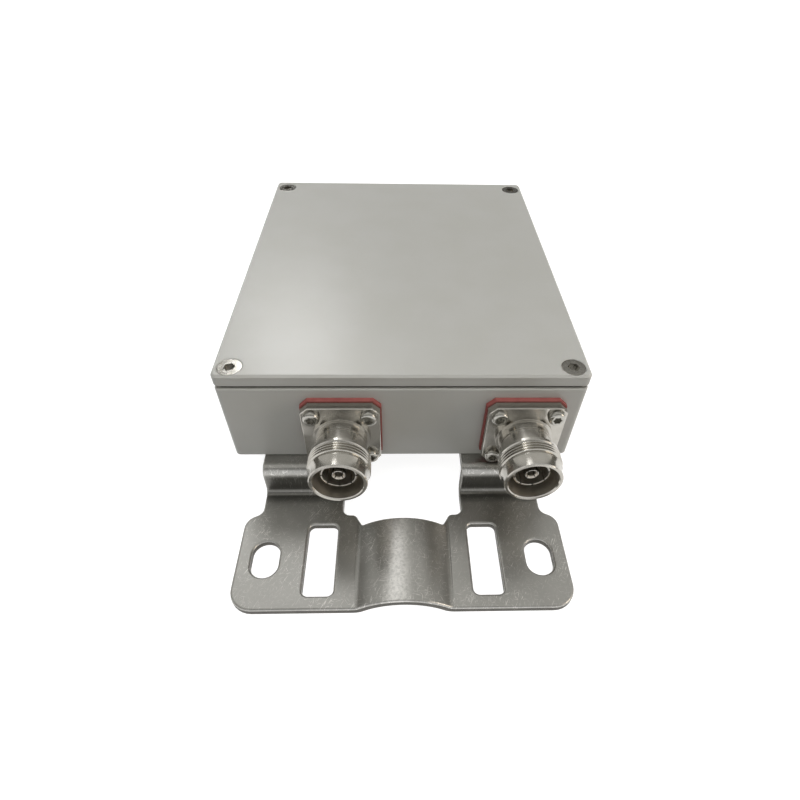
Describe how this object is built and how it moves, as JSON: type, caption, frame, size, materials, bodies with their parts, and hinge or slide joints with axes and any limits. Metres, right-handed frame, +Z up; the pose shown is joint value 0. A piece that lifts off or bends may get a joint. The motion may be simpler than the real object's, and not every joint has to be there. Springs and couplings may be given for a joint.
{
  "type": "cavity diplexer",
  "caption": "Cavity radio diplexer: sealed painted box with coaxial ports, tuned resonators inside and a bent steel bracket with a mast saddle.",
  "frame": {"origin": "centre of the housing's flat underside", "axes": "+X across the face with the two band ports, -Y out of that face, +Y out of the common-port face, +Z up through the outer cover"},
  "size_m": [0.118, 0.2184, 0.0522],
  "materials": {
    "paint": null,
    "port_plating": "bright white-bronze plating over turned brass",
    "bracket_steel": "stainless sheet, tumbled, with fine scratches and bright edges",
    "screw_steel": "stainless, passivated, fairly bright",
    "silver": "silver plating, satin",
    "plated_brass": "machined, clean",
    "insulator": "filled fluoropolymer, waxy",
    "red_rubber": "red silicone sheet, matt",
    "black_rubber": "conductive silicone sheet, matt"
  },
  "bodies": {
    "diplexer": {"bracket": "bracket_steel", "bracket_screws": "screw_steel", "bracket_washers": "screw_steel", "common_port_bead": "insulator", "common_port_body": "port_plating", "common_port_contact": "port_plating", "common_port_seal": "red_rubber", "coupling_lock_nuts": "plated_brass", "cover_screws": "screw_steel", "cover_seal": "black_rubber", "high_port_bead": "insulator", "high_port_body": "port_plating", "high_port_contact": "port_plating", "high_port_seal": "red_rubber", "high_resonator_1": "silver", "high_resonator_2": "silver", "high_resonator_3": "silver", "high_resonator_4": "silver", "high_resonator_5": "silver", "high_resonator_6": "silver", "high_tap_wire": "silver", "housing": "paint", "junction_wire": "silver", "low_port_bead": "insulator", "low_port_body": "port_plating", "low_port_contact": "port_plating", "low_port_seal": "red_rubber", "low_resonator_1": "silver", "low_resonator_2": "silver", "low_resonator_3": "silver", "low_resonator_4": "silver", "low_resonator_5": "silver", "low_tap_wire": "silver", "outer_cover": "paint", "port_screws": "screw_steel", "resonator_screws": "screw_steel", "tuning_lock_nuts": "plated_brass", "tuning_plate": "silver", "tuning_plate_screws": "screw_steel"},
    "low_tuning_screw_1": {"low_tuning_screw_1": "plated_brass"},
    "low_tuning_screw_2": {"low_tuning_screw_2": "plated_brass"},
    "low_tuning_screw_3": {"low_tuning_screw_3": "plated_brass"},
    "low_tuning_screw_4": {"low_tuning_screw_4": "plated_brass"},
    "low_tuning_screw_5": {"low_tuning_screw_5": "plated_brass"},
    "high_tuning_screw_1": {"high_tuning_screw_1": "plated_brass"},
    "high_tuning_screw_2": {"high_tuning_screw_2": "plated_brass"},
    "high_tuning_screw_3": {"high_tuning_screw_3": "plated_brass"},
    "high_tuning_screw_4": {"high_tuning_screw_4": "plated_brass"},
    "high_tuning_screw_5": {"high_tuning_screw_5": "plated_brass"},
    "high_tuning_screw_6": {"high_tuning_screw_6": "plated_brass"},
    "low_coupling_screw_1": {"low_coupling_screw_1": "plated_brass"},
    "low_coupling_screw_2": {"low_coupling_screw_2": "plated_brass"},
    "low_coupling_screw_3": {"low_coupling_screw_3": "plated_brass"},
    "low_coupling_screw_4": {"low_coupling_screw_4": "plated_brass"},
    "high_coupling_screw_1": {"high_coupling_screw_1": "plated_brass"},
    "high_coupling_screw_2": {"high_coupling_screw_2": "plated_brass"},
    "high_coupling_screw_3": {"high_coupling_screw_3": "plated_brass"},
    "high_coupling_screw_4": {"high_coupling_screw_4": "plated_brass"},
    "high_coupling_screw_5": {"high_coupling_screw_5": "plated_brass"}
  },
  "joints": [
    {"name": "low_tuning_screw_1_travel", "type": "slide", "parent": "diplexer", "child": "low_tuning_screw_1", "axis": [0, 0, 1], "range_m": [-0.003, 0.002]},
    {"name": "low_tuning_screw_2_travel", "type": "slide", "parent": "diplexer", "child": "low_tuning_screw_2", "axis": [0, 0, 1], "range_m": [-0.003, 0.002]},
    {"name": "low_tuning_screw_3_travel", "type": "slide", "parent": "diplexer", "child": "low_tuning_screw_3", "axis": [0, 0, 1], "range_m": [-0.003, 0.002]},
    {"name": "low_tuning_screw_4_travel", "type": "slide", "parent": "diplexer", "child": "low_tuning_screw_4", "axis": [0, 0, 1], "range_m": [-0.003, 0.002]},
    {"name": "low_tuning_screw_5_travel", "type": "slide", "parent": "diplexer", "child": "low_tuning_screw_5", "axis": [0, 0, 1], "range_m": [-0.003, 0.002]},
    {"name": "high_tuning_screw_1_travel", "type": "slide", "parent": "diplexer", "child": "high_tuning_screw_1", "axis": [0, 0, 1], "range_m": [-0.003, 0.002]},
    {"name": "high_tuning_screw_2_travel", "type": "slide", "parent": "diplexer", "child": "high_tuning_screw_2", "axis": [0, 0, 1], "range_m": [-0.003, 0.002]},
    {"name": "high_tuning_screw_3_travel", "type": "slide", "parent": "diplexer", "child": "high_tuning_screw_3", "axis": [0, 0, 1], "range_m": [-0.003, 0.002]},
    {"name": "high_tuning_screw_4_travel", "type": "slide", "parent": "diplexer", "child": "high_tuning_screw_4", "axis": [0, 0, 1], "range_m": [-0.003, 0.002]},
    {"name": "high_tuning_screw_5_travel", "type": "slide", "parent": "diplexer", "child": "high_tuning_screw_5", "axis": [0, 0, 1], "range_m": [-0.003, 0.002]},
    {"name": "high_tuning_screw_6_travel", "type": "slide", "parent": "diplexer", "child": "high_tuning_screw_6", "axis": [0, 0, 1], "range_m": [-0.003, 0.002]},
    {"name": "low_coupling_screw_1_travel", "type": "slide", "parent": "diplexer", "child": "low_coupling_screw_1", "axis": [0, 0, 1], "range_m": [-0.003, 0.002]},
    {"name": "low_coupling_screw_2_travel", "type": "slide", "parent": "diplexer", "child": "low_coupling_screw_2", "axis": [0, 0, 1], "range_m": [-0.003, 0.002]},
    {"name": "low_coupling_screw_3_travel", "type": "slide", "parent": "diplexer", "child": "low_coupling_screw_3", "axis": [0, 0, 1], "range_m": [-0.003, 0.002]},
    {"name": "low_coupling_screw_4_travel", "type": "slide", "parent": "diplexer", "child": "low_coupling_screw_4", "axis": [0, 0, 1], "range_m": [-0.003, 0.002]},
    {"name": "high_coupling_screw_1_travel", "type": "slide", "parent": "diplexer", "child": "high_coupling_screw_1", "axis": [0, 0, 1], "range_m": [-0.003, 0.002]},
    {"name": "high_coupling_screw_2_travel", "type": "slide", "parent": "diplexer", "child": "high_coupling_screw_2", "axis": [0, 0, 1], "range_m": [-0.003, 0.002]},
    {"name": "high_coupling_screw_3_travel", "type": "slide", "parent": "diplexer", "child": "high_coupling_screw_3", "axis": [0, 0, 1], "range_m": [-0.003, 0.002]},
    {"name": "high_coupling_screw_4_travel", "type": "slide", "parent": "diplexer", "child": "high_coupling_screw_4", "axis": [0, 0, 1], "range_m": [-0.003, 0.002]},
    {"name": "high_coupling_screw_5_travel", "type": "slide", "parent": "diplexer", "child": "high_coupling_screw_5", "axis": [0, 0, 1], "range_m": [-0.003, 0.002]}
  ]
}
